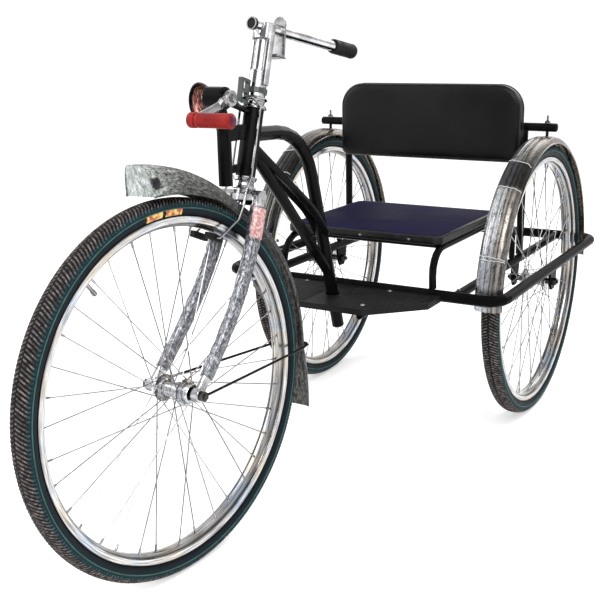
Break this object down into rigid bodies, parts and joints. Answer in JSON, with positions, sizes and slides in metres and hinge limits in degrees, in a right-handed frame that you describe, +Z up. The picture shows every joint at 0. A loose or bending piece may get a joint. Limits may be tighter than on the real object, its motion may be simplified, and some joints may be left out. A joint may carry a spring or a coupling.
{
  "type": "wheelchair tricycle",
  "caption": "Hand-cranked wheelchair tricycle with a flat seat, backrest, footboard, rear guards, tiller steering and a steered front wheel.",
  "frame": {"origin": "on the floor at the bottom centre of the tricycle's box", "axes": "+Z up, -Y forward, +X to the rider's left"},
  "size_m": [0.767, 1.8722, 1.0213],
  "materials": {
    "black_paint": "gloss enamel",
    "navy_board": "semi-matt covered board",
    "black_padding": "semi-matt vinyl padding",
    "steel": "plain",
    "chrome": "bright plated",
    "rubber": "matt",
    "black_plastic": "satin",
    "red_plastic": "satin"
  },
  "bodies": {
    "frame": {"main_frame": "black_paint", "chassis": "black_paint", "seat_frame": "black_paint", "back_frame": "black_paint", "seat": "navy_board", "footboard": "navy_board", "backrest": "black_padding", "rear_axle_left": "steel", "rear_axle_right": "steel", "rear_mudguard_left": "chrome", "rear_mudguard_right": "chrome", "crank_post": "black_paint", "lamp": "black_plastic"},
    "steering": {"fork": "chrome", "front_axle": "steel", "headset_low": "chrome", "headset_high": "chrome", "steering_column": "chrome", "tiller_grip": "black_plastic", "tiller_cap": "black_plastic", "tiller_plate": "chrome", "brake_bracket": "black_paint", "brake_stirrup": "chrome", "brake_pad_left": "rubber", "brake_pad_right": "rubber", "front_mudguard": "chrome", "front_mudguard_stay": "black_paint"},
    "front_wheel": {"front_tyre": "rubber", "front_wheel_rim": "chrome"},
    "rear_wheel_left": {"rear_tyre_left": "rubber", "rear_wheel_rim_left": "chrome"},
    "rear_wheel_right": {"rear_tyre_right": "rubber", "rear_wheel_rim_right": "chrome"},
    "crank": {"hand_crank": "chrome", "crank_grip": "red_plastic"}
  },
  "joints": [
    {"name": "steering_turn", "type": "hinge", "parent": "frame", "child": "steering", "pos_m": [0, -0.45829, 0.35544], "axis": [0, 0.2924, 0.9563], "range_deg": [-24, 36]},
    {"name": "front_wheel_spin", "type": "hinge", "parent": "steering", "child": "front_wheel", "pos_m": [-0.01244, -0.58211, 0.35525], "axis": [0.9945, -0.1, 0.0306], "continuous": true},
    {"name": "rear_wheel_left_spin", "type": "hinge", "parent": "frame", "child": "rear_wheel_left", "pos_m": [0.32, 0.52757, 0.35544], "axis": [1, 0, 0], "continuous": true},
    {"name": "rear_wheel_right_spin", "type": "hinge", "parent": "frame", "child": "rear_wheel_right", "pos_m": [-0.32, 0.52757, 0.35544], "axis": [1, 0, 0], "continuous": true},
    {"name": "hand_crank_spin", "type": "hinge", "parent": "frame", "child": "crank", "pos_m": [0, -0.42875, 0.8762], "axis": [1, 0, 0], "continuous": true}
  ]
}
